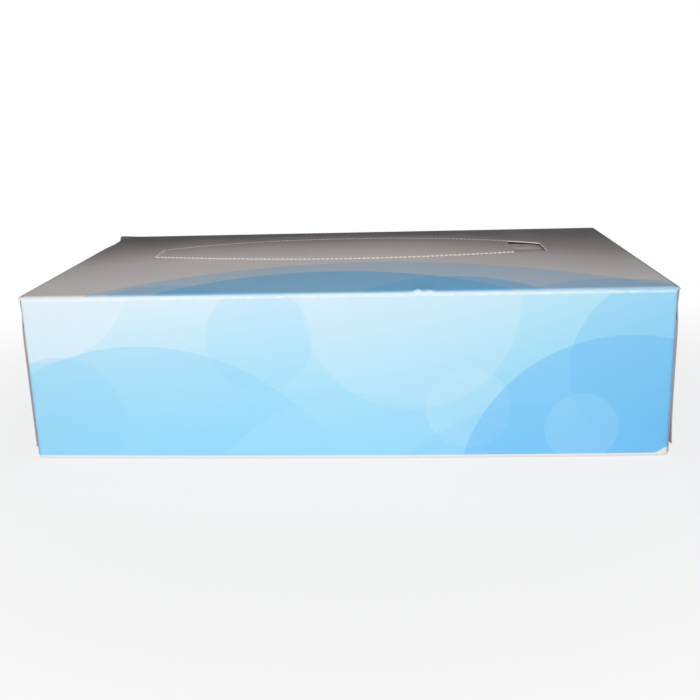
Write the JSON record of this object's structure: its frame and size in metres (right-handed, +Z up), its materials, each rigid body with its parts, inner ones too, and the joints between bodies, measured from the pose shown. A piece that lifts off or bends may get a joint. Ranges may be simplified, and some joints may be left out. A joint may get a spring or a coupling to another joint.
{
  "type": "flat facial tissue box",
  "caption": "Flat folded board carton of interfolded facial tissues, unopened, with a perforated tear-out top and an open finger hole at one end.",
  "frame": {"origin": "middle of the bottom panel, on the surface that the carton stands on", "axes": "+X along the length, towards the end with the finger hole; +Y from the front panel to the back panel; +Z up"},
  "size_m": [0.23, 0.12, 0.0652],
  "materials": {
    "printed_board": "coated white board with an offset print, satin",
    "tissue": "soft creped tissue, matte"
  },
  "bodies": {
    "root": {"carton": "printed_board", "tissue_stack": "tissue"}
  },
  "joints": []
}
